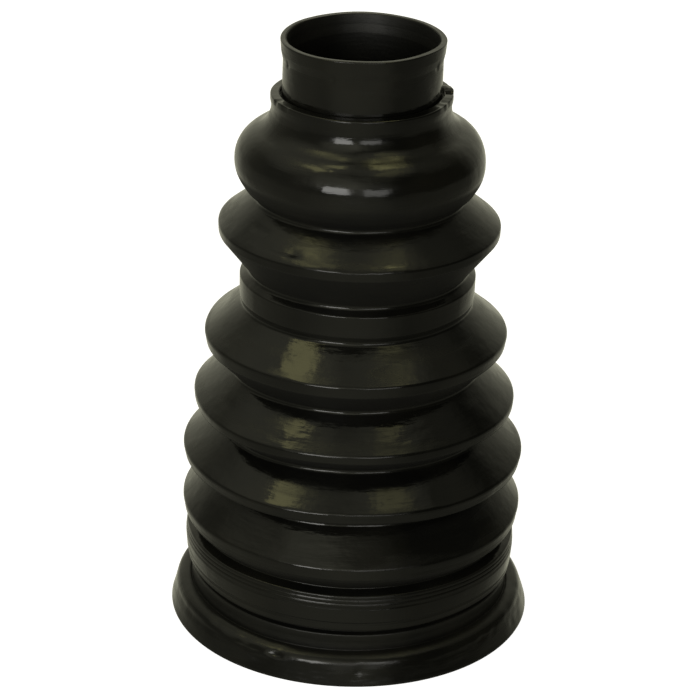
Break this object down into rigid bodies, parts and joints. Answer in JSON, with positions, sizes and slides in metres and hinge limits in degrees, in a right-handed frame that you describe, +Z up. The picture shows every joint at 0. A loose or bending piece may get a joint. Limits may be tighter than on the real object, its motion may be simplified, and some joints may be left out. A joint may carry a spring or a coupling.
{
  "type": "rubber bellows boot",
  "caption": "Tapered moulded rubber bellows boot, open at both ends, with a collar and a round bulb at the small end and a flanged cuff at the large end.",
  "frame": {"origin": "centre of the underside of the foot flange, on the boot's axis", "axes": "+Z up the axis, from the foot flange to the small end; the form is the same all round, so +X and +Y are free"},
  "size_m": [0.12, 0.12, 0.1979],
  "materials": {
    "rubber": "moulded black rubber, semi-gloss"
  },
  "bodies": {
    "root": {"bellows_boot": "rubber"}
  },
  "joints": []
}
